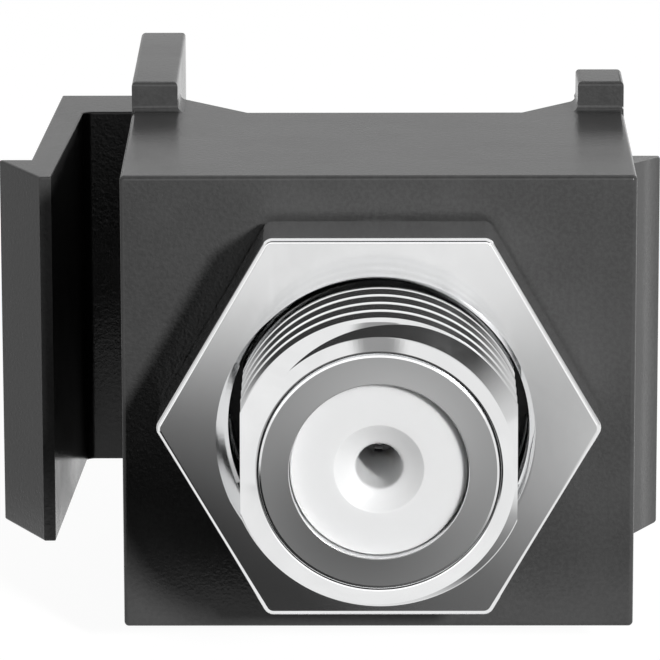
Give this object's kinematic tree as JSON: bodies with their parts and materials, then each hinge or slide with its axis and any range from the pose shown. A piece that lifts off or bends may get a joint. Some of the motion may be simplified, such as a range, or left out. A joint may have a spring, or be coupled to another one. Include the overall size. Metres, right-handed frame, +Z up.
{
  "type": "satellite tv socket",
  "caption": "Snap-in wall plate block with a flexible latch and a threaded coaxial coupler held by a hexagon nut, for joining two satellite TV leads.",
  "frame": {"origin": "on the coupler's axis, in the plane of the block's front face", "axes": "+X right seen from the front, +Y into the wall along the coupler's axis, +Z up"},
  "size_m": [0.0215, 0.027, 0.0166],
  "materials": {
    "black_moulding": "fine spark-textured black ABS, half gloss",
    "nickel_plate": "bright nickel plate on turned brass",
    "nickel_nut": "bright nickel plate on a milled brass nut",
    "washer_steel": "zinc plated spring steel",
    "white_insulator": "smooth white acetal",
    "contact_plate": "tin plated phosphor bronze"
  },
  "bodies": {
    "block": {"housing": "black_moulding", "barrel": "nickel_plate", "front_insulator": "white_insulator", "rear_insulator": "white_insulator", "centre_contact": "contact_plate"},
    "washer": {"lock_washer": "washer_steel"},
    "nut": {"panel_nut": "nickel_nut"}
  },
  "joints": [
    {"name": "nut_travel", "type": "slide", "parent": "block", "child": "washer", "axis": [0, -1, 0], "range_m": [0, 0.005]},
    {"name": "nut_turn", "type": "hinge", "parent": "washer", "child": "nut", "pos_m": [0, -0.0018, 0], "axis": [0, -1, 0], "range_deg": [0, 1800]}
  ],
  "couplings": [
    {"joint": "nut_travel", "follows": "nut_turn", "m_per_rad": 0.00015915}
  ]
}
